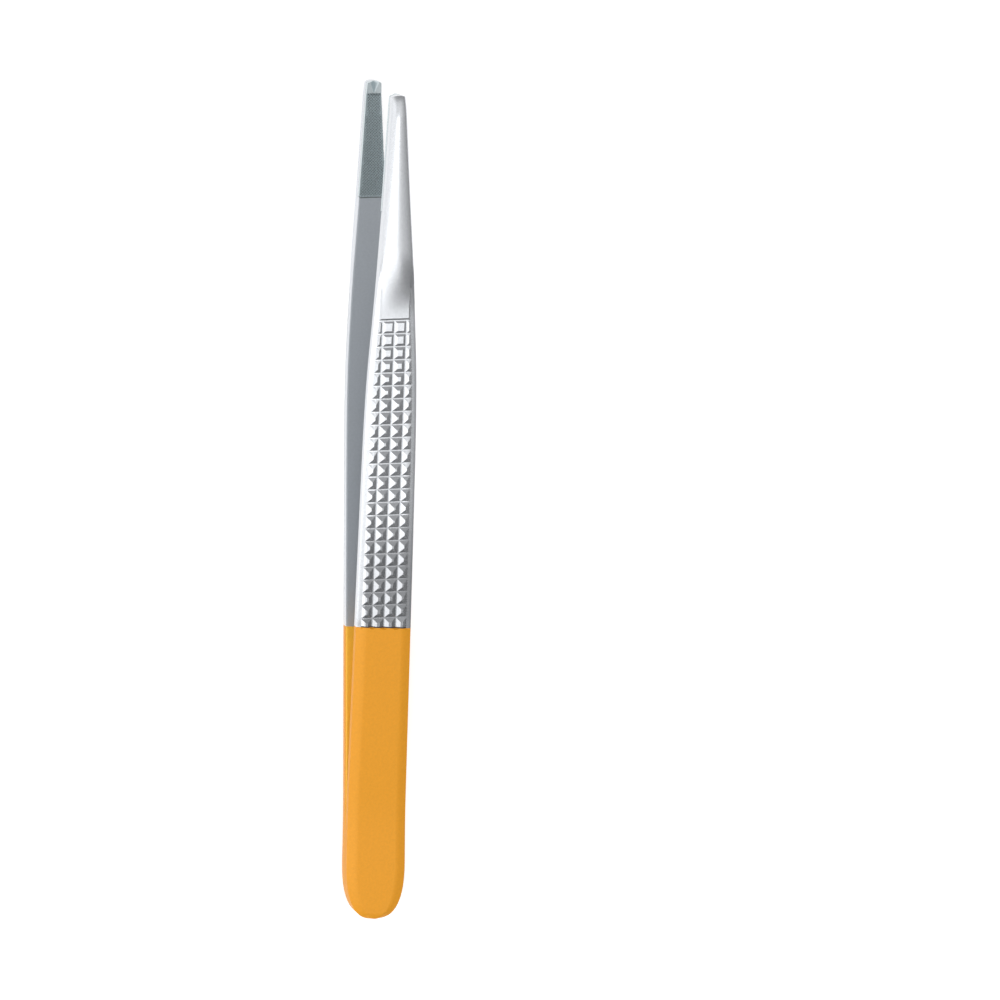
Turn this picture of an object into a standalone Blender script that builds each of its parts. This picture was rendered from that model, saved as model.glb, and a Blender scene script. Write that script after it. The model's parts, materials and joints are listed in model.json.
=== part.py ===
"""Thumb forceps with one-and-two teeth, cross-cut jaw inserts and a pyramid grip.

Two equal spring steel arms are joined flat at the butt, part in a soft bend and turn
parallel again at the jaws. A hard insert is brazed into the inner face of each jaw: the
upper one ends in a single tooth, the lower one in two, with the notch that takes it.

An arm is modelled in its own frame: X runs from the butt to the tip, Z points away from
the other arm, and Z = 0 is the plane midway between the two. The lower arm is the same
arm turned over about X. The closed butt and the outside of the jaw bend are what the
forceps lies on, so everything hangs from one empty that tips it down onto them.
"""

import math

import bmesh
import bpy

MM = 0.001

# Driving dimensions, in metres
LENGTH = 145.0 * MM  # butt to tip along the middle plane
JAW_OPENING = 14.5 * MM  # clear gap between the inner faces at the jaws
WELD_END = 18.5 * MM  # from the butt to where the arms part
JAW_BEND = 35.3 * MM  # from the tip back to where the jaws turn parallel
WELD_BEND_REACH = 4.0 * MM  # half the length of the bend at the butt
JAW_BEND_REACH = 5.0 * MM  # half the length of the bend behind the jaws
WELD_GAP = 0.04 * MM  # between the two arms where they are joined

# Plan widths of an arm, from the butt to the tip
ROUND_END = 10.0 * MM  # length of the rounded butt
BUTT_WIDTH = 10.4 * MM
WAIST_WIDTH = 9.15 * MM
SHOULDER_WIDTH = 8.5 * MM
NECK_WIDTH = 7.2 * MM  # at the first groove of the grip
HEEL_WIDTH = 4.7 * MM  # at the heel of the insert
TIP_WIDTH = 2.4 * MM
TIP_RISE = 0.25 * MM  # how far the middle of the tip stands past its corners
WAIST_FROM_TIP = 65.0 * MM
SHOULDER_FROM_TIP = 50.0 * MM
BUTT_ROUNDNESS = 2.6  # exponent of the butt's outline, where 2 is an ellipse

# Thickness of an arm
EDGE_THICKNESS = 1.55 * MM  # upright side of the blade
FLOOR_THICKNESS = 1.65 * MM  # to the floors of the grip's grooves
MARGIN = 0.85 * MM  # plain strip along each side of the grip
MARGIN_DROP = 0.03 * MM  # of that strip below the groove floors
JAW_EDGE_THICKNESS = 2.2 * MM  # upright side of the jaw
JAW_THICKNESS = 3.0 * MM  # over the crown of the half-round jaw
TIP_EDGE_THICKNESS = 1.6 * MM
TIP_THICKNESS = 2.1 * MM
TIP_ROUND = 3.5 * MM  # length over which the jaw's back falls to the tip
BUTT_ROUND = 0.8 * MM  # length over which the butt's rim is eased
BUTT_RIM = 0.75  # share of the thickness that is left at the rim
NECK_BLEND = 12.0 * MM  # length over which the flat blade turns half-round
MOST_MARGIN = 0.4  # share of the half width that the margin takes at most
MOST_SLOPE = 0.3  # share of it that the slope beside the pyramids takes at most

# Grip of pyramids between crossing grooves
GRIP_FROM_TIP = 38.6 * MM  # to the first groove
GRIP_FROM_BUTT = 52.2 * MM  # to the last of the grip
GRIP_ROW_PITCH = 2.28 * MM  # from one crossways groove to the next
GRIP_COLUMN_PITCH = 2.1 * MM  # from one lengthways groove to the next
GRIP_COLUMN_GROOVES = 3
GROOVE_FLOOR = 0.2 * MM
GROOVE_SIDE_RUN = 1.8  # how far a groove's side runs out for each unit that it rises
GROOVE_LENGTHWAYS_EXTRA = 0.02 * MM  # the lengthways grooves are this much deeper
GRIP_STOP = 0.25 * MM  # length of the step that ends the grip at each end
PAD_AT_NECK = 0.18 * MM  # height of the pyramids at the grip's ends and middle
PAD_AT_MIDDLE = 0.45 * MM
PAD_AT_PALM = 0.38 * MM
PAD_EASE_NECK = 14.5 * MM  # length over which they gain their full height
PAD_EASE_PALM = 15.5 * MM

# Brazed jaw inserts
INSERT_LENGTH = 20.0 * MM
INSERT_PROUD = 0.3 * MM  # of the cut face above the arm's inner face
SEAT_DEPTH = 0.75 * MM
BRAZE_GAP = 0.05 * MM
SERRATION_PITCH = 0.5 * MM  # corner to corner of a diamond
SERRATION_DEPTH = 0.16 * MM
TOOTH_LENGTH = 2.07 * MM
TOOTH_HALF_WIDTH = 0.85 * MM  # at the tip
TOOTH_HEIGHT = 0.5 * MM  # of the single tooth past the closing plane
TWIN_TEETH_HEIGHT = 0.35 * MM  # of the two teeth past the closing plane
TOOTH_CLEARANCE = 0.05 * MM  # between the teeth and their notches when closed

# How finely the curves are stepped
CROWN_STEPS = 8  # from one side of the jaw's back to its crown
BUTT_STEPS = 9
BUTT_CROWDING = 1.5  # exponent that crowds the sections towards the round end
BEND_STEPS = 4
MARGIN_POINTS = 3  # of a section that lie on the margin, where the blade is flat
NEAREST_SECTIONS = 0.05 * MM
CUT_OVERSHOOT = 0.4 * MM  # how far a cutter stands out of what it cuts

HALF_WEDGE = 0.5 * JAW_OPENING / (LENGTH - JAW_BEND - WELD_END)
GRIP_START = LENGTH - GRIP_FROM_TIP
SEAT_START = LENGTH - INSERT_LENGTH
TEETH_START = LENGTH - TOOTH_LENGTH
TIP_CORNER = LENGTH - TIP_RISE


def eased(value, start, end):
    """0 before start, 1 past end, and smooth between them."""
    share = min(max((value - start) / (end - start), 0.0), 1.0)
    return share * share * (3.0 - 2.0 * share)


def mixed(first, second, share):
    return first + (second - first) * share


def ramp(distance, reach):
    """A straight line through the origin whose foot is rounded over reach on each side."""
    if distance <= -reach:
        return 0.0
    if distance >= reach:
        return distance
    return (distance + reach) ** 2 / (4.0 * reach)


def inner_height(x):
    """Height of an arm's inner face above the middle plane."""
    parting = ramp(x - WELD_END, WELD_BEND_REACH)
    turning = ramp(x - (LENGTH - JAW_BEND), JAW_BEND_REACH)
    return 0.5 * WELD_GAP + HALF_WEDGE * (parting - turning)


def through(stations, x):
    """A smooth curve through (x, value) stations, flat past the first and straight past the last."""
    count = len(stations)
    slopes = []
    for i in range(count):
        before = stations[max(i - 1, 0)]
        after = stations[min(i + 1, count - 1)]
        slopes.append((after[1] - before[1]) / (after[0] - before[0]))
    if x <= stations[0][0]:
        return stations[0][1]
    for i in range(count - 1):
        x0, y0 = stations[i]
        x1, y1 = stations[i + 1]
        if x <= x1:
            span = x1 - x0
            t = (x - x0) / span
            bend = (1 - t) * (slopes[i] * span - (y1 - y0)) + t * ((y1 - y0) - slopes[i + 1] * span)
            return mixed(y0, y1, t) + t * (1 - t) * bend
    return stations[-1][1] + slopes[-1] * (x - stations[-1][0])


def half_width(x):
    """Half the plan width of an arm at x."""
    stations = (
        (ROUND_END, BUTT_WIDTH),
        (LENGTH - WAIST_FROM_TIP, WAIST_WIDTH),
        (LENGTH - SHOULDER_FROM_TIP, SHOULDER_WIDTH),
        (GRIP_START, NECK_WIDTH),
        (SEAT_START, HEEL_WIDTH),
        (TIP_CORNER, TIP_WIDTH),
    )
    half = 0.5 * through(stations, x)
    if x < ROUND_END:
        along = 1.0 - x / ROUND_END
        half *= (1.0 - along**BUTT_ROUNDNESS) ** (1.0 / BUTT_ROUNDNESS)
    return half


def pad_height(x):
    """Height of the pyramids' tops over the groove floors."""
    from_palm = (x - GRIP_FROM_BUTT) / PAD_EASE_PALM
    from_neck = (GRIP_START - x) / PAD_EASE_NECK
    low_side = mixed(PAD_AT_PALM, PAD_AT_MIDDLE, min(max(from_palm, 0.0), 1.0))
    high_side = mixed(PAD_AT_NECK, PAD_AT_MIDDLE, min(max(from_neck, 0.0), 1.0))
    return min(low_side, high_side)


def outer_half_section(x):
    """(y, thickness) points from the side of the blade to its middle."""
    half = half_width(x)
    pad = pad_height(x)
    margin = min(MARGIN, MOST_MARGIN * half)
    pad_edge = half - margin - min(pad * GROOVE_SIDE_RUN, MOST_SLOPE * half)
    top = FLOOR_THICKNESS + pad
    margin_top = FLOOR_THICKNESS - MARGIN_DROP
    if x < GRIP_FROM_BUTT:
        # The plain butt has one sloping flat along each side, in place of the margin.
        margin_top = mixed(EDGE_THICKNESS, top, margin / (half - pad_edge))
    roundness = eased(x, GRIP_START + GRIP_STOP, GRIP_START + GRIP_STOP + NECK_BLEND)
    falling = max(0.0, (x - (TIP_CORNER - TIP_ROUND)) / TIP_ROUND) ** 2
    crown = mixed(JAW_THICKNESS, TIP_THICKNESS, falling)
    edge = mixed(JAW_EDGE_THICKNESS, TIP_EDGE_THICKNESS, falling)
    rim = mixed(BUTT_RIM, 1.0, math.sqrt(min(x / BUTT_ROUND, 1.0)))
    points = []
    for step in range(CROWN_STEPS + 1):
        if step < MARGIN_POINTS:
            flat = (
                (half, EDGE_THICKNESS),
                (half - 0.5 * margin, 0.5 * (EDGE_THICKNESS + margin_top)),
                (half - margin, margin_top),
            )[step]
        else:
            flat = (pad_edge * (CROWN_STEPS - step) / (CROWN_STEPS - MARGIN_POINTS), top)
        angle = 0.5 * math.pi * step / CROWN_STEPS
        dome = (half * math.cos(angle), mixed(edge, crown, math.sin(angle)))
        y = mixed(flat[0], dome[0], roundness)
        thickness = mixed(flat[1], dome[1], roundness) * rim
        points.append((y, thickness))
    return points


def arm_stations():
    """The places along an arm where its section is drawn, from the butt to the tip."""
    places = []
    for step in range(1, BUTT_STEPS):
        angle = 0.5 * math.pi * step / BUTT_STEPS
        places.append(ROUND_END * (1.0 - math.cos(angle)) ** BUTT_CROWDING)
    places.append(ROUND_END)
    for middle, reach in (
        (WELD_END, WELD_BEND_REACH),
        (LENGTH - JAW_BEND, JAW_BEND_REACH),
    ):
        for step in range(BEND_STEPS + 1):
            places.append(middle + reach * (2.0 * step / BEND_STEPS - 1.0))
    places += [GRIP_FROM_BUTT - GRIP_STOP, GRIP_FROM_BUTT, GRIP_FROM_BUTT + PAD_EASE_PALM]
    places += [LENGTH - WAIST_FROM_TIP, GRIP_START - PAD_EASE_NECK, GRIP_START, GRIP_START + GRIP_STOP]
    for share in (0.3, 0.7):
        places.append(mixed(WELD_END + WELD_BEND_REACH, GRIP_FROM_BUTT, share))
        places.append(mixed(LENGTH - WAIST_FROM_TIP, GRIP_START - PAD_EASE_NECK, share))
        places.append(mixed(GRIP_START - PAD_EASE_NECK, GRIP_START, share))
        places.append(mixed(SEAT_START, TIP_CORNER - TIP_ROUND, share))
    blade_end = LENGTH - JAW_BEND + JAW_BEND_REACH
    places += [mixed(GRIP_START + GRIP_STOP, LENGTH - JAW_BEND - JAW_BEND_REACH, 0.5)]
    places += [mixed(blade_end, SEAT_START, 0.5), SEAT_START]
    for share in (0.0, 0.4, 0.7, 0.9, 1.0):
        places.append(TIP_CORNER - TIP_ROUND * (1.0 - share))
    places.sort()
    return [x for i, x in enumerate(places) if i == 0 or x - places[i - 1] > NEAREST_SECTIONS]


def tip_bow(x, y):
    """How far a point moves forward so that the tip ends in an arc."""
    share = eased(x, TIP_CORNER - TIP_ROUND, TIP_CORNER)
    return TIP_RISE * share * (1.0 - (y / half_width(x)) ** 2)


def new_object(name, mesh_data, parent, material=None):
    bmesh.ops.recalc_face_normals(mesh_data, faces=mesh_data.faces)
    bmesh.ops.triangulate(mesh_data, faces=mesh_data.faces)
    mesh = bpy.data.meshes.new(name)
    mesh_data.to_mesh(mesh)
    mesh_data.free()
    piece = bpy.data.objects.new(name, mesh)
    bpy.context.collection.objects.link(piece)
    piece.parent = parent
    if material:
        mesh.materials.append(material)
    return piece


def strip(mesh_data, first, second):
    """Quads between two rows of as many vertices."""
    for i in range(len(first) - 1):
        mesh_data.faces.new((first[i], first[i + 1], second[i + 1], second[i]))


def loft(mesh_data, rings):
    """A closed solid through rings, each a lower and an upper row from side to side."""
    rows = []
    for lower, upper in rings:
        rows.append(
            (
                [mesh_data.verts.new(point) for point in lower],
                [mesh_data.verts.new(point) for point in upper],
            )
        )
    for (lower, upper), (next_lower, next_upper) in zip(rows, rows[1:]):
        strip(mesh_data, lower, next_lower)
        strip(mesh_data, upper, next_upper)
        for side in (0, -1):
            mesh_data.faces.new((lower[side], upper[side], next_upper[side], next_lower[side]))
    for lower, upper in (rows[0], rows[-1]):
        strip(mesh_data, lower, upper)


def cut(piece, cutter):
    """Takes cutter out of piece, and keeps it as a hidden guide."""
    cutter.hide_render = True
    cutter.display_type = "WIRE"
    boolean = piece.modifiers.new(cutter.name, "BOOLEAN")
    boolean.operation = "DIFFERENCE"
    boolean.solver = "EXACT"
    boolean.object = cutter
    return boolean


def make_blank(name, parent, materials):
    """The forged arm before its grooves and its seat are cut."""
    steel, plated = materials
    rings = []
    for x in arm_stations():
        base = inner_height(x)
        half_section = outer_half_section(x)
        section = half_section + [(-y, thickness) for y, thickness in reversed(half_section[:-1])]
        lower = [(x + tip_bow(x, y), y, base) for y, thickness in section]
        upper = [(x + tip_bow(x, y), y, base + thickness) for y, thickness in section]
        rings.append((lower, upper))
    shape = bmesh.new()
    loft(shape, rings)
    blank = new_object(name, shape, parent)
    blank.data.materials.append(steel)
    blank.data.materials.append(plated)
    for face in blank.data.polygons:
        face.material_index = int(face.center.x < GRIP_FROM_BUTT)
    return blank


def pad_surface(x):
    return inner_height(x) + FLOOR_THICKNESS + pad_height(x)


def groove_section(depth):
    """(offset, drop) points across a groove, from one lip to the other."""
    floor = 0.5 * GROOVE_FLOOR
    mouth = floor + depth * GROOVE_SIDE_RUN
    return ((-mouth, 0.0), (-floor, depth), (floor, depth), (mouth, 0.0))


def add_crossways_grooves(shape):
    """Cutters for the grooves that run from side to side."""
    reach = 0.5 * max(BUTT_WIDTH, WAIST_WIDTH, SHOULDER_WIDTH, NECK_WIDTH) + CUT_OVERSHOOT
    count = int((GRIP_START - GRIP_FROM_BUTT) / GRIP_ROW_PITCH)
    for row in range(count + 1):
        middle = GRIP_START - row * GRIP_ROW_PITCH
        section = groove_section(pad_height(middle))
        if middle + section[0][0] < GRIP_FROM_BUTT:
            continue
        lower = []
        upper = []
        for offset, drop in section:
            surface = pad_surface(middle) + HALF_WEDGE * offset
            lower.append((middle + offset, surface - drop))
            upper.append((middle + offset, surface + CUT_OVERSHOOT))
        rings = []
        for y in (-reach, reach):
            rings.append(([(x, y, z) for x, z in lower], [(x, y, z) for x, z in upper]))
        loft(shape, rings)


def add_lengthways_grooves(shape):
    """Cutters for the grooves that run along the arm."""
    places = (
        GRIP_FROM_BUTT,
        GRIP_FROM_BUTT + PAD_EASE_PALM,
        GRIP_START - PAD_EASE_NECK,
        GRIP_START,
    )
    for column in range(GRIP_COLUMN_GROOVES):
        y = (column - 0.5 * (GRIP_COLUMN_GROOVES - 1)) * GRIP_COLUMN_PITCH
        rings = []
        for x in places:
            section = groove_section(pad_height(x) + GROOVE_LENGTHWAYS_EXTRA)
            surface = pad_surface(x)
            lower = [(x, y + offset, surface - drop) for offset, drop in section]
            upper = [(x, y + offset, surface + CUT_OVERSHOOT) for offset, drop in section]
            rings.append((lower, upper))
        loft(shape, rings)


def grip_cutter(name, parent):
    shape = bmesh.new()
    add_crossways_grooves(shape)
    add_lengthways_grooves(shape)
    return new_object(name, shape, parent)


def block(name, parent, low, high):
    """A box from corner to corner, used as a cutter."""
    shape = bmesh.new()
    rings = []
    for x in (low[0], high[0]):
        lower = [(x, low[1], low[2]), (x, high[1], low[2])]
        upper = [(x, low[1], high[2]), (x, high[1], high[2])]
        rings.append((lower, upper))
    loft(shape, rings)
    return new_object(name, shape, parent)


def make_arm(name, parent, materials):
    arm = make_blank(name, parent, materials)
    jaw_face = inner_height(LENGTH)
    seat = block(
        name + "_seat_cut",
        arm,
        (SEAT_START, -HEEL_WIDTH, jaw_face - CUT_OVERSHOOT),
        (LENGTH + CUT_OVERSHOOT, HEEL_WIDTH, jaw_face + SEAT_DEPTH),
    )
    cut(arm, seat)
    cut(arm, grip_cutter(name + "_grip_cut", arm)).use_self = True
    return arm


def serration_cutter(name, parent, closing_plane, top):
    """What the two families of slanting grooves take away, down to sharp diamond points."""
    shape = bmesh.new()
    step = 0.5 * SERRATION_PITCH
    rows = int(math.ceil((TEETH_START - SEAT_START) / step)) + 1
    half_count = int(math.ceil(0.5 * HEEL_WIDTH / step)) + 1
    lattice = []
    for i in range(rows + 1):
        line = []
        for j in range(-half_count, half_count + 1):
            is_point = (i + j) % 2 == 1
            height = closing_plane if is_point else closing_plane + SERRATION_DEPTH
            line.append(shape.verts.new((TEETH_START - i * step, j * step, height)))
        lattice.append(line)
    for i in range(rows):
        for j in range(2 * half_count):
            square = (lattice[i][j], lattice[i][j + 1], lattice[i + 1][j + 1], lattice[i + 1][j])
            if (i + j - half_count) % 2 == 1:
                square = square[1:] + square[:1]
            shape.faces.new((square[0], square[1], square[2]))
            shape.faces.new((square[0], square[2], square[3]))
    outline = (
        lattice[0][:-1]
        + [line[-1] for line in lattice[:-1]]
        + lattice[-1][:0:-1]
        + [line[0] for line in lattice[:0:-1]]
    )
    raised = [shape.verts.new((v.co.x, v.co.y, top)) for v in outline]
    for i in range(len(outline)):
        after = (i + 1) % len(outline)
        shape.faces.new((outline[i], outline[after], raised[after], raised[i]))
    shape.faces.new(raised)
    return new_object(name, shape, parent)


def teeth_cutter(name, parent, closing_plane, shoulder, middle, top):
    """What is taken over the teeth.

    The two shoulders and the line between them all start at the closing plane and reach
    their own heights at the tip. A middle that is lower than the shoulders leaves one
    tooth, and a higher one leaves a notch between two.
    """
    reach = TIP_WIDTH
    past = 1.0 + CUT_OVERSHOOT / TOOTH_LENGTH
    end = TEETH_START + TOOTH_LENGTH * past
    foot = TOOTH_HALF_WIDTH * past
    level = mixed(closing_plane, shoulder, past)
    crest = mixed(closing_plane, middle, past)
    roof = ((reach, top), (-reach, top))
    start = ((-reach, closing_plane), (0.0, closing_plane), (reach, closing_plane))
    finish = ((-reach, level), (-foot, level), (0.0, crest), (foot, level), (reach, level))
    shape = bmesh.new()
    near = [shape.verts.new((TEETH_START, y, z)) for y, z in start + roof]
    far = [shape.verts.new((end, y, z)) for y, z in finish + roof]
    shape.faces.new(near)
    shape.faces.new(far)
    shape.faces.new((near[0], near[1], far[1], far[0]))
    shape.faces.new((near[1], far[2], far[1]))
    shape.faces.new((near[1], far[3], far[2]))
    shape.faces.new((near[1], near[2], far[4], far[3]))
    shape.faces.new((near[2], near[3], far[5], far[4]))
    shape.faces.new((near[3], near[4], far[6], far[5]))
    shape.faces.new((near[4], near[0], far[0], far[6]))
    return new_object(name, shape, parent)


def make_insert(name, parent, material, twin_teeth):
    """A jaw insert in the arm's frame. Its cut face looks towards the middle plane."""
    jaw_face = inner_height(LENGTH)
    closing_plane = jaw_face - INSERT_PROUD
    back = jaw_face + SEAT_DEPTH - BRAZE_GAP
    front = closing_plane - max(TOOTH_HEIGHT, TWIN_TEETH_HEIGHT)
    clear = front - CUT_OVERSHOOT
    rings = []
    for x in arm_stations():
        if x < SEAT_START:
            continue
        place = max(x, SEAT_START + BRAZE_GAP)
        ys = [y for y, thickness in outer_half_section(x)]
        ys += [-y for y in reversed(ys[:-1])]
        lower = [(place + tip_bow(x, y), y, front) for y in ys]
        upper = [(place + tip_bow(x, y), y, back) for y in ys]
        rings.append((lower, upper))
    shape = bmesh.new()
    loft(shape, rings)
    insert = new_object(name, shape, parent, material)
    cut(insert, serration_cutter(name + "_serration_cut", insert, closing_plane, clear))
    if twin_teeth:
        shoulder = closing_plane - TWIN_TEETH_HEIGHT
        middle = closing_plane + TOOTH_HEIGHT + TOOTH_CLEARANCE
    else:
        shoulder = closing_plane + TWIN_TEETH_HEIGHT + TOOTH_CLEARANCE
        middle = closing_plane - TOOTH_HEIGHT
    cut(insert, teeth_cutter(name + "_teeth_cut", insert, closing_plane, shoulder, middle, clear))
    return insert


def make_material(name, colour, roughness):
    material = bpy.data.materials.new(name)
    material.use_nodes = True
    shader = material.node_tree.nodes["Principled BSDF"]
    shader.inputs["Base Color"].default_value = (*colour, 1.0)
    shader.inputs["Metallic"].default_value = 1.0
    shader.inputs["Roughness"].default_value = roughness
    return material


def resting_tilt():
    """The angle at which the lower arm's back lies on a flat surface."""
    outline = []
    for x in arm_stations():
        outline.append((x, inner_height(x) + outer_half_section(x)[-1][1]))
    behind = [point for point in outline if point[0] < GRIP_FROM_BUTT]
    ahead = [point for point in outline if point[0] >= GRIP_FROM_BUTT]
    slopes = []
    for a in behind:
        slope = max((b[1] - a[1]) / (b[0] - a[0]) for b in ahead)
        slopes.append((a[1] - slope * a[0], slope))
    return math.atan(max(slopes)[1])


def lay_down(rest, pieces):
    """Tips the whole forceps onto its lower arm and centres it over the origin."""
    rest.rotation_euler = (0.0, -resting_tilt(), 0.0)
    bpy.context.view_layer.update()
    corners = []
    for piece in pieces:
        for vertex in piece.data.vertices:
            corners.append(piece.matrix_world @ vertex.co)
    low_x = min(corner.x for corner in corners)
    high_x = max(corner.x for corner in corners)
    low_z = min(corner.z for corner in corners)
    rest.location = (-0.5 * (low_x + high_x), 0.0, -low_z)


def main():
    for old in list(bpy.data.objects):
        bpy.data.objects.remove(old)
    steel = make_material("satin_steel", (0.62, 0.63, 0.64), 0.32)
    plated = make_material("gold_plate", (0.80, 0.36, 0.04), 0.28)
    carbide = make_material("jaw_carbide", (0.24, 0.26, 0.27), 0.45)
    rest = bpy.data.objects.new("rest", None)
    bpy.context.collection.objects.link(rest)
    pieces = []
    for side in ("upper", "lower"):
        turned = bpy.data.objects.new(side + "_side", None)
        bpy.context.collection.objects.link(turned)
        turned.parent = rest
        if side == "lower":
            turned.rotation_euler = (math.pi, 0.0, 0.0)
        pieces.append(make_arm(side + "_arm", turned, (steel, plated)))
        pieces.append(make_insert(side + "_jaw_insert", turned, carbide, twin_teeth=side == "lower"))
    lay_down(rest, pieces)


main()
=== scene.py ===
# Thumb forceps: the looks. Two satin steel blades with a pyramid grip, a gold-plated butt
# and cross-cut jaw inserts, lying on a white sweep.
import json
import math

import bmesh
import bpy
from mathutils import Matrix, Vector


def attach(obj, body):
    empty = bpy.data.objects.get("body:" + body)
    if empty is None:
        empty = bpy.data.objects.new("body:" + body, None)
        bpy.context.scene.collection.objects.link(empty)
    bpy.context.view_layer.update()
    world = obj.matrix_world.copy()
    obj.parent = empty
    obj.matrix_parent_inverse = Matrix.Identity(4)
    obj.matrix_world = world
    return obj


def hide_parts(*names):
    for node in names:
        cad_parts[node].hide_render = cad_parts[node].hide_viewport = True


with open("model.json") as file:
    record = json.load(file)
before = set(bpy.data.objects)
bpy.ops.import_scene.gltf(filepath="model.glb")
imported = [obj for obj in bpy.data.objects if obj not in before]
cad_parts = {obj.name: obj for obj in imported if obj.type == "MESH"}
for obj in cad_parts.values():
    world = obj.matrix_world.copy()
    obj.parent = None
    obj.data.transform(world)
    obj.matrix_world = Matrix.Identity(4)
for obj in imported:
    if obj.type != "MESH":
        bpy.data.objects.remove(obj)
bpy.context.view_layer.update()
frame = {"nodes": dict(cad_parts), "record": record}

mm = 0.001

# The blades are drawn in the forceps' own frame: X from butt to tip, Z away from the other
# arm, and Z = 0 midway between the two.
blade = {
    "length": 145.0 * mm,
    "jawOpening": 14.5 * mm,
    "weldEnd": 18.5 * mm,
    "weldReach": 4.0 * mm,
    "jawBend": 35.3 * mm,  # from the tip
    "jawReach": 5.0 * mm,
    "weldGap": 0.04 * mm,
    "edge": 1.55 * mm,  # thickness of the upright side
    "floor": 1.65 * mm,  # thickness down to the groove floors
    "margin": 0.85 * mm,
    "marginShare": 0.4,  # the most of the half width that a margin takes
    "marginDrop": 0.03 * mm,
    "jawEdge": 2.2 * mm,
    "jawCrown": 3.0 * mm,
    "tipEdge": 1.6 * mm,
    "tipCrown": 2.1 * mm,
    "tipRound": 3.5 * mm,
    "tipRise": 0.25 * mm,
    "neckBlend": 12.0 * mm,
    "corner": 0.04 * mm,  # easing of the long outer edges
    "innerCorner": 0.3 * mm,
    "buttStart": 0.012 * mm,  # the first section, just off the very end
    "buttRound": 0.8 * mm,
    "buttRim": 0.75,
    "roundEnd": 10.0 * mm,
    "roundness": 2.6,
    "restFace": 13.0 * mm,  # from the butt to the middle of the face that it lies on
    "smoothAngle": 20.0,  # degrees, and a sharper edge stays crisp
}

# Plan widths, as distance from the butt and width
planWidths = (
    (blade["roundEnd"], 10.4 * mm),
    (blade["length"] - 65.0 * mm, 9.15 * mm),
    (blade["length"] - 50.0 * mm, 8.5 * mm),
    (blade["length"] - 38.6 * mm, 7.2 * mm),
    (blade["length"] - 20.0 * mm, 4.7 * mm),
    (blade["length"] - blade["tipRise"], 2.4 * mm),
)

grip = {
    "start": blade["length"] - 38.6 * mm,
    "end": 52.2 * mm,
    "rowPitch": 2.28 * mm,
    "columnPitch": 2.1 * mm,
    "floorWidth": 0.2 * mm,
    "sideRun": 1.8,  # run of a groove's side for each unit of rise
    "runShare": 0.3,  # the most of the half width that a side takes
    "neckPad": 0.18 * mm,
    "middlePad": 0.45 * mm,
    "palmPad": 0.38 * mm,
    "neckEase": 14.5 * mm,
    "palmEase": 15.5 * mm,
    "stop": 0.25 * mm,
}

jaw = {
    "seatStart": blade["length"] - 20.0 * mm,
    "seatDepth": 0.75 * mm,
    "brazeWidth": 0.16 * mm,
    "step": 0.01 * mm,  # from the last full section to the first over the seat
}

# Where the plating ends on each arm, from the butt
plating = {
    "upperEnd": 52.2 * mm,
    "lowerEnd": 50.8 * mm,
    "slant": 0.066,  # how far the edge is out of square
    "slantReach": 1.5 * mm,
    "seam": 0.22 * mm,  # dark line where the grip stops at the plating
}

# How finely the blades are drawn: points across half the top, and sections in each stretch
detail = {
    "topPoints": 10,
    "butt": 15,
    "buttSpread": 1.5,  # higher is closer together near the end
    "weld": 3,
    "parting": 8,
    "palm": 8,
    "neck": 8,
    "neckEnd": 112.0 * mm,
    "jaw": 16,
    "insert": 18,
    "tip": 12,
    "outerArc": 0.25,  # where the middle of an eased corner lies, as a share of its size
    "innerArc": 0.3,
    "endGap": 0.04 * mm,  # no section comes nearer to a piece's end
    "leastStep": 0.004 * mm,
    "leastTwist": 0.001 * mm,
    "flat": 0.9,  # a face that looks at the other arm at least this squarely is an inner one
}

# Material slots of a blade
outerSlot, innerSlot, seamSlot, brazeSlot = range(4)

halfWedge = 0.5 * blade["jawOpening"] / (blade["length"] - blade["jawBend"] - blade["weldEnd"])
tipCorner = blade["length"] - blade["tipRise"]


def eased(value, start, end):
    share = min(max((value - start) / (end - start), 0.0), 1.0)
    return share * share * (3.0 - 2.0 * share)


def mixed(first, second, share):
    return first + (second - first) * share


def ramp(distance, reach):
    if distance <= -reach:
        return 0.0
    if distance >= reach:
        return distance
    return (distance + reach) ** 2 / (4.0 * reach)


def innerHeight(x):
    parting = ramp(x - blade["weldEnd"], blade["weldReach"])
    turning = ramp(x - (blade["length"] - blade["jawBend"]), blade["jawReach"])
    return 0.5 * blade["weldGap"] + halfWedge * (parting - turning)


def through(stations, x):  # smooth curve through (x, value) stations
    count = len(stations)
    slopes = []
    for i in range(count):
        before = stations[max(i - 1, 0)]
        after = stations[min(i + 1, count - 1)]
        slopes.append((after[1] - before[1]) / (after[0] - before[0]))
    if x <= stations[0][0]:
        return stations[0][1]
    for i in range(count - 1):
        x0, y0 = stations[i]
        x1, y1 = stations[i + 1]
        if x <= x1:
            span = x1 - x0
            t = (x - x0) / span
            bend = (1 - t) * (slopes[i] * span - (y1 - y0)) + t * ((y1 - y0) - slopes[i + 1] * span)
            return mixed(y0, y1, t) + t * (1 - t) * bend
    return stations[-1][1] + slopes[-1] * (x - stations[-1][0])


def halfWidth(x):
    half = 0.5 * through(planWidths, x)
    if x < blade["roundEnd"]:
        along = 1.0 - max(x, 0.0) / blade["roundEnd"]
        half *= (1.0 - along ** blade["roundness"]) ** (1.0 / blade["roundness"])
    return half


def padHeight(x):  # of the pyramids over the groove floors
    fromPalm = min(max((x - grip["end"]) / grip["palmEase"], 0.0), 1.0)
    fromNeck = min(max((grip["start"] - x) / grip["neckEase"], 0.0), 1.0)
    return min(
        mixed(grip["palmPad"], grip["middlePad"], fromPalm),
        mixed(grip["neckPad"], grip["middlePad"], fromNeck),
    )


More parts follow.
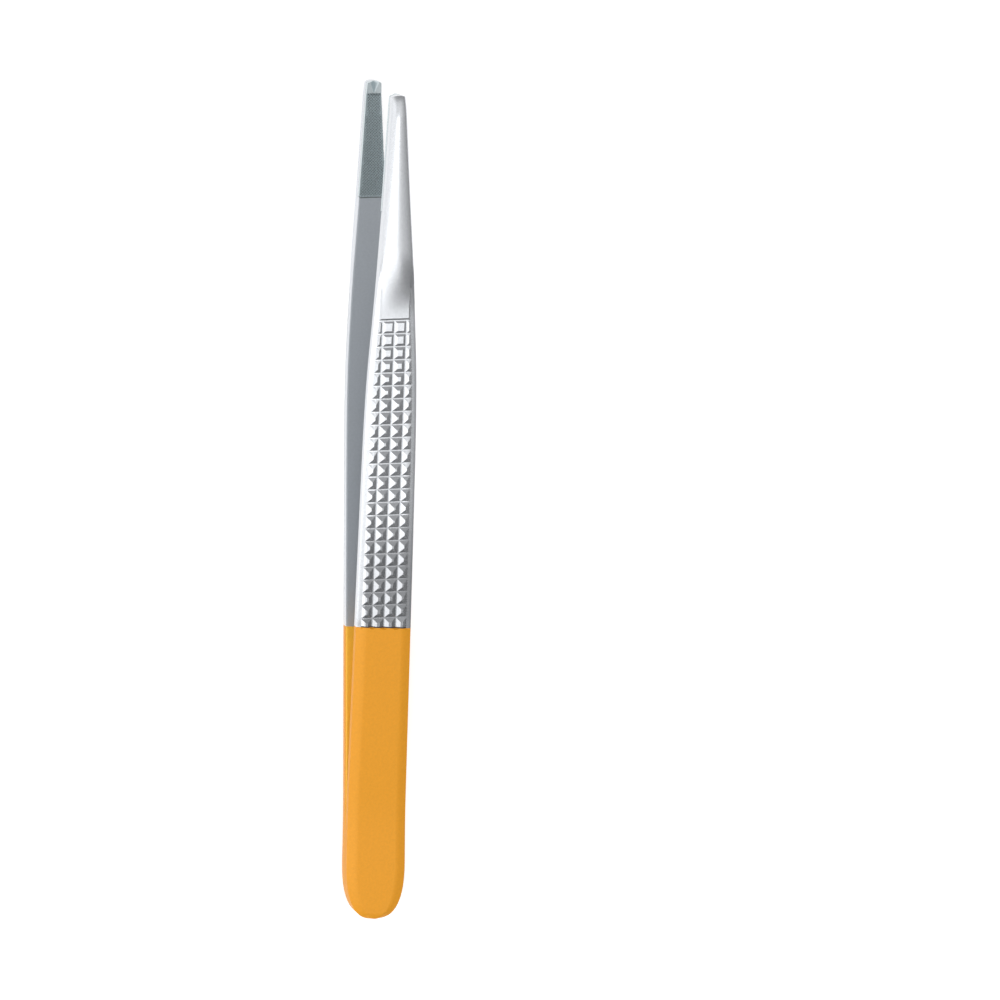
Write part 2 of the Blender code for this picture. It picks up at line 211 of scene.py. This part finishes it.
def topLines(x, base):
    # Distances from the middle of the blade at which the top between its margins changes slope
    floor = 0.5 * grip["floorWidth"]
    run = min(padHeight(x) * grip["sideRun"], grip["runShare"] * halfWidth(x))
    pitch = grip["columnPitch"]
    top = base - run
    if x < grip["end"] or x > grip["start"]:
        # Outside the grip the same lines are spread evenly over the flat top.
        last = detail["topPoints"] - 1
        return [top * i / last for i in range(detail["topPoints"])]
    lines = [0.0, floor, floor + run, 0.5 * pitch, pitch - floor - run, pitch - floor]
    lines += [pitch + floor, pitch + floor + run]
    if top < lines[-1]:
        ridge = 0.5 * (pitch + floor + base)
        lines[-1] = ridge
        top = ridge
    return lines + [0.5 * (lines[-1] + top), top]


def gripHeight(x, y, pad):
    # Height over the groove floors: the lowest of the top and of each sloping side
    floor = 0.5 * grip["floorWidth"]
    pitch = grip["rowPitch"]
    row = round((grip["start"] - x) / pitch)
    heights = [pad]
    middle = grip["start"] - row * pitch
    if middle - floor - padHeight(middle) * grip["sideRun"] > grip["end"]:
        heights.append(max(abs(x - middle) - floor, 0.0) / grip["sideRun"])
    for column in (0.0, grip["columnPitch"]):
        heights.append(max(abs(y - column) - floor, 0.0) / grip["sideRun"])
    return min(heights)


def backSection(x, inGrip):
    # (y, thickness) from the middle of the blade to its side wall
    half = halfWidth(x)
    pad = padHeight(x)
    margin = min(blade["margin"], blade["marginShare"] * half)
    base = half - margin
    tops = topLines(x, base)
    marginTop = blade["floor"] - blade["marginDrop"]
    if x < grip["end"]:
        marginTop = mixed(blade["edge"], blade["floor"] + pad, (half - base) / (half - tops[-1]))
    nearWall = mixed(blade["edge"], marginTop, blade["corner"] / (half - base))
    flat = [(y, blade["floor"] + (gripHeight(x, y, pad) if inGrip else pad)) for y in tops]
    flat.append((base, marginTop))
    flat.append((base + 0.5 * margin, 0.5 * (marginTop + blade["edge"])))
    flat.append((half - blade["corner"], nearWall))

    # The flat top turns into the jaw's dome over the neck, and the dome falls at the tip.
    neckEnd = grip["start"] + grip["stop"]
    roundness = eased(x, neckEnd, neckEnd + blade["neckBlend"])
    fall = max(1.0 - max(0.0, (x - (tipCorner - blade["tipRound"])) / blade["tipRound"]) ** 2, 0.0)
    crown = mixed(blade["tipCrown"], blade["jawCrown"], fall)
    edge = mixed(blade["tipEdge"], blade["jawEdge"], fall)
    rim = mixed(blade["buttRim"], 1.0, min(max(x, 0.0) / blade["buttRound"], 1.0) ** 0.5)
    points = []
    for i, (y, height) in enumerate(flat):
        angle = 0.5 * math.pi * i / (len(flat) - 0.5)
        domeY = half * math.sin(angle)
        dome = mixed(edge, crown, math.cos(angle))
        points.append((mixed(y, domeY, roundness), mixed(height, dome, roundness) * rim))

    # The corner where the back meets the side wall is eased by one more point.
    last = points[-1]
    arc = detail["outerArc"]
    points.append((half - arc * (half - last[0]), last[1] - arc * blade["corner"] * rim))
    wallTop = mixed(blade["edge"], edge, roundness) * rim - blade["corner"]
    points.append((half, wallTop))
    return points


def alongLines(start, end):
    # (x, in the grip or not) for each section between start and end
    places = []

    def spread(first, last, count):
        for i in range(count + 1):
            places.append((mixed(first, last, i / count), False))

    for i in range(1, detail["butt"]):
        share = 1.0 - math.cos(0.5 * math.pi * i / detail["butt"])
        places.append((blade["roundEnd"] * share ** detail["buttSpread"], False))
    partingStart = blade["weldEnd"] - blade["weldReach"]
    partingEnd = blade["weldEnd"] + blade["weldReach"]
    spread(blade["roundEnd"], partingStart, detail["weld"])
    spread(partingStart, partingEnd, detail["parting"])
    spread(partingEnd, grip["end"] - grip["stop"], detail["palm"])

    floor = 0.5 * grip["floorWidth"]
    row = 0
    places.append((grip["end"], True))
    places.append((grip["end"] + plating["seam"], True))
    while True:
        middle = grip["start"] - row * grip["rowPitch"]
        mouth = floor + padHeight(middle) * grip["sideRun"]
        if middle - mouth < grip["end"]:
            break
        for offset in (-mouth, -floor, floor, mouth):
            if middle + offset <= grip["start"] + 0.5 * mouth + floor:
                places.append((middle + offset, True))
        places.append((middle - 0.5 * grip["rowPitch"], True))
        row += 1

    neckStart = grip["start"] + floor + padHeight(grip["start"]) * grip["sideRun"]
    spread(neckStart, detail["neckEnd"], detail["neck"])
    spread(detail["neckEnd"], jaw["seatStart"] - jaw["brazeWidth"], detail["jaw"])
    places.append((jaw["seatStart"], False))
    spread(jaw["seatStart"] + jaw["step"], tipCorner - blade["tipRound"], detail["insert"])
    spread(tipCorner - blade["tipRound"], tipCorner, detail["tip"])

    gap = detail["endGap"]
    places = [place for place in places if start + gap < place[0] < end - gap]
    places.append((start, grip["end"] <= start <= grip["start"]))
    places.append((end, grip["end"] <= end <= grip["start"]))
    places.sort()
    kept = [places[0]]
    for place in places[1:]:
        if place[0] - kept[-1][0] > detail["leastStep"]:
            kept.append(place)
    return kept


def tipBow(x, y):
    share = eased(x, tipCorner - blade["tipRound"], tipCorner)
    return blade["tipRise"] * share * (1.0 - min((y / halfWidth(x)) ** 2, 1.0))


def plateSlant(x, lowerArm):
    end = plating["lowerEnd"] if lowerArm else plating["upperEnd"]
    share = eased(abs(x - end), plating["slantReach"], 0.0)
    return (-1.0 if lowerArm else 1.0) * plating["slant"] * share


def bladeRing(x, inGrip, lowerArm):
    # One closed outline: along the back from +y to -y, then along the inner face to +y
    back = backSection(x, inGrip)
    base = innerHeight(x)
    seated = x > jaw["seatStart"]
    inner = jaw["seatDepth"] if seated else 0.0
    half = halfWidth(x)
    ease = blade["innerCorner"] * eased(x, blade["weldEnd"] - blade["weldReach"], blade["weldEnd"])
    if seated:
        ease = 0.0
    top = [(y, base + thickness) for y, thickness in back]
    low = [(min(y, half - ease), base + inner) for y, thickness in back[:-2]]
    low[-1] = (half - ease, base + inner)
    arc = detail["innerArc"] * ease
    low.append((half - arc, base + inner + arc))
    low.append((half, base + inner + ease))
    outline = list(reversed(top)) + [(-y, z) for y, z in top[1:]]
    outline += [(-y, z) for y, z in reversed(low)] + low[1:]
    slant = plateSlant(x, lowerArm)
    return [Vector((x + tipBow(x, y) + slant * y, y, z)) for y, z in outline]


def turnedOver(points):  # the lower arm is the upper one turned about X
    return [Vector((p.x, -p.y, -p.z)) for p in points]


def faceSlot(face, lowerArm):
    middle = face.calc_center_median()
    inward = 1.0 if lowerArm else -1.0
    if face.normal.z * inward > detail["flat"]:
        besideSeat = jaw["seatStart"] - jaw["brazeWidth"] < middle.x < jaw["seatStart"]
        return brazeSlot if besideSeat else innerSlot
    fromPlating = middle.x - plateSlant(middle.x, lowerArm) * middle.y - grip["end"]
    betweenMargins = abs(middle.y) < halfWidth(grip["end"]) - blade["margin"]
    if 0.0 < fromPlating < plating["seam"] and betweenMargins:
        return seamSlot
    return outerSlot


def splitAlongHips(shape):
    # A twisted square is split along the diagonal that keeps its ridge.
    for face in list(shape.faces):
        if len(face.verts) != 4:
            continue
        a, b, c, d = [v.co for v in face.verts]
        twist = (b - a).cross(d - a).normalized().dot(c - a)
        if abs(twist) < detail["leastTwist"]:
            continue
        first = (a + c) * 0.5
        second = (b + d) * 0.5
        keepFirst = (first - second).dot(face.normal) > 0.0
        verts = list(face.verts)
        pair = (verts[0], verts[2]) if keepFirst else (verts[1], verts[3])
        bmesh.utils.face_split(face, pair[0], pair[1])


def bladeMesh(name, start, end, lowerArm):
    shape = bmesh.new()
    rows = []
    for x, inGrip in alongLines(start, end):
        ring = bladeRing(x, inGrip, lowerArm)
        if lowerArm:
            ring = turnedOver(ring)
        rows.append([shape.verts.new(point) for point in ring])
    count = len(rows[0])
    for first, second in zip(rows, rows[1:]):
        for i in range(count):
            after = (i + 1) % count
            shape.faces.new((first[i], first[after], second[after], second[i]))
    for row in (rows[0], rows[-1]):
        # Strips between the back and the inner face close each end.
        for i in range(count // 2 - 1):
            a, b = row[i], row[i + 1]
            c, d = row[(count - 2 - i) % count], row[(count - 1 - i) % count]
            shape.faces.new((a, b, c, d))
    bmesh.ops.recalc_face_normals(shape, faces=shape.faces)
    splitAlongHips(shape)
    for face in shape.faces:
        face.material_index = faceSlot(face, lowerArm)
    mesh = bpy.data.meshes.new(name)
    shape.to_mesh(mesh)
    shape.free()
    return mesh


# Lays what is drawn in the forceps' own frame onto the face that it rests on
restFace = next(m for m in frame["record"]["mounts"] if m["name"] == "rest_face")
tilt = math.atan2(restFace["axis"][0], -restFace["axis"][2])
restDepth = 0.5 * blade["weldGap"] + blade["floor"] + grip["palmPad"]
restFaceAt = Vector((blade["restFace"], 0.0, -restDepth))
turn = Matrix.Rotation(-tilt, 4, "Y")
lieDown = Matrix.Translation(Vector(restFace["pos_m"]) - turn @ restFaceAt) @ turn


def addPiece(name, mesh, materials, nodes):
    piece = bpy.data.objects.new(name, mesh)
    bpy.context.collection.objects.link(piece)
    mesh.transform(lieDown)
    for material in materials:
        mesh.materials.append(material)
    mesh.shade_smooth()
    mesh.set_sharp_from_angle(angle=math.radians(blade["smoothAngle"]))
    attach(piece, "root")
    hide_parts(*nodes)


def addNode(tree, kind, where, **values):
    node = tree.nodes.new(kind)
    node.location = where
    for key, value in values.items():
        setattr(node, key, value)
    return node


def addMath(tree, where, operation, first, second=0.0):  # second is a socket or a number
    node = addNode(tree, "ShaderNodeMath", where, operation=operation)
    tree.links.new(first, node.inputs[0])
    if isinstance(second, float):
        node.inputs[1].default_value = second
    else:
        tree.links.new(second, node.inputs[1])
    return node.outputs[0]


def addRange(tree, where, value, given, wanted, kind="SMOOTHSTEP"):
    node = addNode(tree, "ShaderNodeMapRange", where, interpolation_type=kind)
    node.inputs["From Min"].default_value, node.inputs["From Max"].default_value = given
    node.inputs["To Min"].default_value, node.inputs["To Max"].default_value = wanted
    tree.links.new(value, node.inputs["Value"])
    return node.outputs["Result"]


steelLook = {
    "colour": (0.645, 0.662, 0.69),
    "metal": 1.0,
    "roughness": 0.26,
    "grain": 0.35 * mm,
    "bump": 0.02,
    "palmShadeSpan": (-13.0 * mm, 3.0 * mm),  # painted shade over the palm end, along the part
    "palmShadeDepth": 0.75,
    "palmShadeEdge": (3.2 * mm, 3.6 * mm),  # the left margin is left out of the painted shade
}
innerLook = {
    "colour": (0.41, 0.44, 0.475),
    "metal": 0.2,
    "roughness": 0.6,
    "grain": 0.35 * mm,
    "bump": 0.04,
}
goldLook = {
    "colour": (0.87, 0.358, 0.012),
    "metal": 0.12,
    "roughness": 0.5,
    "grain": 0.4 * mm,
    "bump": 0.03,
}
# Painted light: the gold on the inner faces is lighter, to make up for the shade in the narrow gap
# between the arms.
innerGoldPaintedLightLook = {**goldLook, "colour": (0.98, 0.565, 0.05)}
carbideLook = {
    "colour": (0.41, 0.455, 0.47),
    "metal": 1.0,
    "roughness": 0.3,
    "grain": 0.3 * mm,
    "bump": 0.03,
    # Painted shade in the cuts and painted highlight on the ridges, by pointiness
    "shadedPointiness": (0.46, 0.54),  # pointiness from a cut to a ridge
    "cutShadeRidgeHighlight": (0.6, 1.32),
}
seamLook = {
    "colour": (0.05, 0.05, 0.055),
    "metal": 0.3,
    "roughness": 0.6,
    "grain": 0.3 * mm,
    "bump": 0.02,
}
brazeLook = {**seamLook, "colour": (0.15, 0.17, 0.17)}
blasting = {
    "detail": 2.0,
    "noise": (0.25, 0.75),
    "tints": (0.96, 1.04),
    "depth": 0.02 * mm,
}


def metalMaterial(name, look):
    # Blasted metal: a fine even grain in the colour and the bump; some looks add painted shade and
    # highlight to the colour
    material = bpy.data.materials.new(name)
    material.use_nodes = True
    tree = material.node_tree
    shader = tree.nodes["Principled BSDF"]
    shader.inputs["Metallic"].default_value = look["metal"]
    shader.inputs["Roughness"].default_value = look["roughness"]
    coords = addNode(tree, "ShaderNodeTexCoord", (-1000, 0))
    grain = addNode(tree, "ShaderNodeTexNoise", (-800, 0))
    grain.inputs["Scale"].default_value = 1.0 / look["grain"]
    grain.inputs["Detail"].default_value = blasting["detail"]
    tree.links.new(coords.outputs["Object"], grain.inputs["Vector"])
    noise = grain.outputs["Fac"]
    shade = addRange(tree, (-500, 200), noise, blasting["noise"], blasting["tints"], "LINEAR")
    if "shadedPointiness" in look:
        # Painted shade and highlight: by pointiness, the cuts are darkened and the ridges between
        # them brightened.
        surface = addNode(tree, "ShaderNodeNewGeometry", (-800, 400))
        pointed = surface.outputs["Pointiness"]
        ridge = addRange(tree, (-500, 400), pointed, look["shadedPointiness"], look["cutShadeRidgeHighlight"])
        shade = addMath(tree, (-350, 300), "MULTIPLY", shade, ridge)
    if "palmShadeSpan" in look:
        # Painted shade: the colour darkens towards the palm end of the grip, but not over the left
        # margin.
        parts = addNode(tree, "ShaderNodeSeparateXYZ", (-800, 400))
        tree.links.new(coords.outputs["Object"], parts.inputs["Vector"])
        shades = (look["palmShadeDepth"], 1.0)
        lengthwise = addRange(tree, (-650, 500), parts.outputs["X"], look["palmShadeSpan"], shades)
        edge = addRange(tree, (-650, 200), parts.outputs["Y"], look["palmShadeEdge"], (0.0, 1.0))
        paintedPalmShade = addMath(tree, (-500, 400), "MAXIMUM", lengthwise, edge)
        shade = addMath(tree, (-350, 300), "MULTIPLY", shade, paintedPalmShade)
    colour = addNode(tree, "ShaderNodeMix", (-250, 200), data_type="RGBA", blend_type="MULTIPLY")
    colour.inputs["Factor"].default_value = 1.0
    colour.inputs["A"].default_value = (*look["colour"], 1.0)
    tree.links.new(shade, colour.inputs["B"])
    tree.links.new(colour.outputs["Result"], shader.inputs["Base Color"])
    bump = addNode(tree, "ShaderNodeBump", (-250, -100))
    bump.inputs["Strength"].default_value = look["bump"]
    bump.inputs["Distance"].default_value = blasting["depth"]
    tree.links.new(noise, bump.inputs["Height"])
    tree.links.new(bump.outputs["Normal"], shader.inputs["Normal"])
    return material


satinSteel = metalMaterial("satinSteel", steelLook)
mattSteel = metalMaterial("mattSteel", innerLook)
maskSeam = metalMaterial("maskSeam", seamLook)
brazeLine = metalMaterial("brazeLine", brazeLook)
innerGoldPaintedLight = metalMaterial("innerGoldPaintedLight", innerGoldPaintedLightLook)
goldPlate = metalMaterial("goldPlate", goldLook)
jawCarbide = metalMaterial("jawCarbide", carbideLook)
steels = (satinSteel, mattSteel, maskSeam, brazeLine)
golds = (goldPlate, innerGoldPaintedLight)

for side, lowerArm in (("upper", False), ("lower", True)):
    plateEnd = plating[side + "End"]
    steel = bladeMesh(side + "Blade", plateEnd, tipCorner, lowerArm)
    addPiece(side + "Blade", steel, steels, [side + "_arm"])
    butt = bladeMesh(side + "PlatedButt", blade["buttStart"], plateEnd, lowerArm)
    addPiece(side + "PlatedButt", butt, golds, [side + "_arm"])
    insert = frame["nodes"][side + "_jaw_insert"]
    insert.material_slots[0].material = jawCarbide
    print("made the", side, "arm")

# The white sweep that the forceps lies on
sweep = {
    "size": 4.0,
    "colour": (0.84, 0.84, 0.84),
    "roughness": 0.9,
    "lift": 0.52,  # lifts the sweep to white in the picture
}


def floorMaterial():
    material = bpy.data.materials.new("whiteSweep")
    material.use_nodes = True
    tree = material.node_tree
    shader = tree.nodes["Principled BSDF"]
    shader.inputs["Base Color"].default_value = (*sweep["colour"], 1.0)
    shader.inputs["Roughness"].default_value = sweep["roughness"]
    shader.inputs["Specular IOR Level"].default_value = 0.0
    # Added only where the camera or a shiny surface looks, so it lights nothing.
    path = addNode(tree, "ShaderNodeLightPath", (-700, 300))
    glossy = path.outputs["Is Glossy Ray"]
    mirrored = addMath(tree, (-500, 300), "MAXIMUM", glossy, path.outputs["Is Transmission Ray"])
    seen = addMath(tree, (-300, 300), "MAXIMUM", path.outputs["Is Camera Ray"], mirrored)
    lift = addMath(tree, (-100, 300), "MULTIPLY", seen, sweep["lift"])
    tree.links.new(lift, shader.inputs["Emission Strength"])
    shader.inputs["Emission Color"].default_value = (1.0, 1.0, 1.0, 1.0)
    return material


def addFloor():
    shape = bmesh.new()
    bmesh.ops.create_grid(shape, x_segments=1, y_segments=1, size=0.5 * sweep["size"])
    mesh = bpy.data.meshes.new("floor")
    shape.to_mesh(mesh)
    shape.free()
    floor = bpy.data.objects.new("floor", mesh)
    bpy.context.collection.objects.link(floor)
    mesh.materials.append(floorMaterial())


addFloor()
print("laid the floor")

# A soft box low over the left of the picture
softBox = {
    "at": (-0.149, 0.165, 0.30),
    "turn": 27.0,  # degrees about the upright
    "size": (0.19, 0.53),
    "radiance": 1.37,
}

# What surrounds it is brightest in a band over the middle, and on the left. Pairs are parts
# of the direction between which the light changes.
surround = {
    "middle": 0.08,  # the band's place along the length
    "band": (0.28, 0.5),
    "ends": 0.35,
    "right": (-0.95, -0.25),
    "rightmost": 0.5,
    "left": (0.0, 0.5),
    "leftGlow": 1.35,
    "rise": (0.05, 0.5),
    "low": 0.6,
}


def addSoftBox():
    data = bpy.data.lights.new("softBox", "AREA")
    data.shape = "RECTANGLE"
    data.size, data.size_y = softBox["size"]
    data.energy = softBox["radiance"] * math.pi * softBox["size"][0] * softBox["size"][1]
    light = bpy.data.objects.new("softBox", data)
    bpy.context.collection.objects.link(light)
    light.location = softBox["at"]
    light.rotation_euler = (0.0, 0.0, math.radians(softBox["turn"]))


def addSurround():
    world = bpy.data.worlds.new("studio")
    bpy.context.scene.world = world
    world.use_nodes = True
    tree = world.node_tree
    coords = addNode(tree, "ShaderNodeTexCoord", (-900, 0))
    parts = addNode(tree, "ShaderNodeSeparateXYZ", (-700, 0))
    tree.links.new(coords.outputs["Generated"], parts.inputs["Vector"])
    x, y, z = parts.outputs
    away = addMath(tree, (-550, 300), "SUBTRACT", x, surround["middle"])
    aside = addMath(tree, (-400, 300), "ABSOLUTE", away)
    along = addRange(tree, (-250, 300), aside, surround["band"], (1.0, surround["ends"]))
    left = addRange(tree, (-400, 0), y, surround["left"], (0.0, surround["leftGlow"]))
    upward = addRange(tree, (-400, -300), z, surround["rise"], (surround["low"], 1.0))
    right = addRange(tree, (-400, -600), y, surround["right"], (surround["rightmost"], 1.0))
    either = addMath(tree, (-200, -100), "MAXIMUM", left, upward)
    sides = addMath(tree, (-200, -300), "MULTIPLY", either, right)
    both = addMath(tree, (-50, 0), "MULTIPLY", along, sides)
    background = tree.nodes["Background"]
    background.inputs["Color"].default_value = (1.0, 1.0, 1.0, 1.0)
    tree.links.new(both, background.inputs["Strength"])


addSoftBox()
addSurround()

# Camera, fitted to the photograph. Angles are in the forceps' own frame.
view = {
    "turn": 15.19,  # degrees about the length
    "pitch": 11.72,  # degrees towards the tips
    "roll": 0.85,
    "distance": 1.362,
    "nearest": 0.01,
    "pixelsPerMetre": 5840.0,
    "centreAt": (378.7, 506.5),  # pixels in the photograph
    "picture": 1000.0,
    "sensor": 36.0,
}


def addCamera():
    turnBy, pitchBy, rollBy = [math.radians(view[key]) for key in ("turn", "pitch", "roll")]
    tipward = Vector((1.0, 0.0, 0.0))
    facing = Vector((0.0, math.sin(turnBy), math.cos(turnBy)))
    back = math.cos(pitchBy) * facing + math.sin(pitchBy) * tipward
    up = math.cos(pitchBy) * tipward - math.sin(pitchBy) * facing
    right = up.cross(back)
    rolledRight = right * math.cos(rollBy) + up * math.sin(rollBy)
    rolledUp = up * math.cos(rollBy) - right * math.sin(rollBy)
    centre = Vector((0.5 * blade["length"], 0.0, 0.0))
    eye = centre + back * view["distance"]
    half = 0.5 * view["picture"]
    aside = (half - view["centreAt"][0]) / view["pixelsPerMetre"]
    above = (view["centreAt"][1] - half) / view["pixelsPerMetre"]
    target = centre + rolledRight * aside + rolledUp * above
    away = (eye - target).normalized()
    across = rolledUp.cross(away).normalized()
    upright = away.cross(across)
    data = bpy.data.cameras.new("camera")
    data.sensor_width = view["sensor"]
    data.lens = view["sensor"] * view["distance"] * view["pixelsPerMetre"] / view["picture"]
    data.clip_start = view["nearest"]
    camera = bpy.data.objects.new("camera", data)
    bpy.context.collection.objects.link(camera)
    axes = Matrix((across, upright, away)).transposed().to_4x4()
    camera.matrix_world = lieDown @ Matrix.Translation(eye) @ axes
    bpy.context.scene.camera = camera


addCamera()
bpy.context.scene.view_settings.view_transform = "Standard"
print("set the camera and the lights")
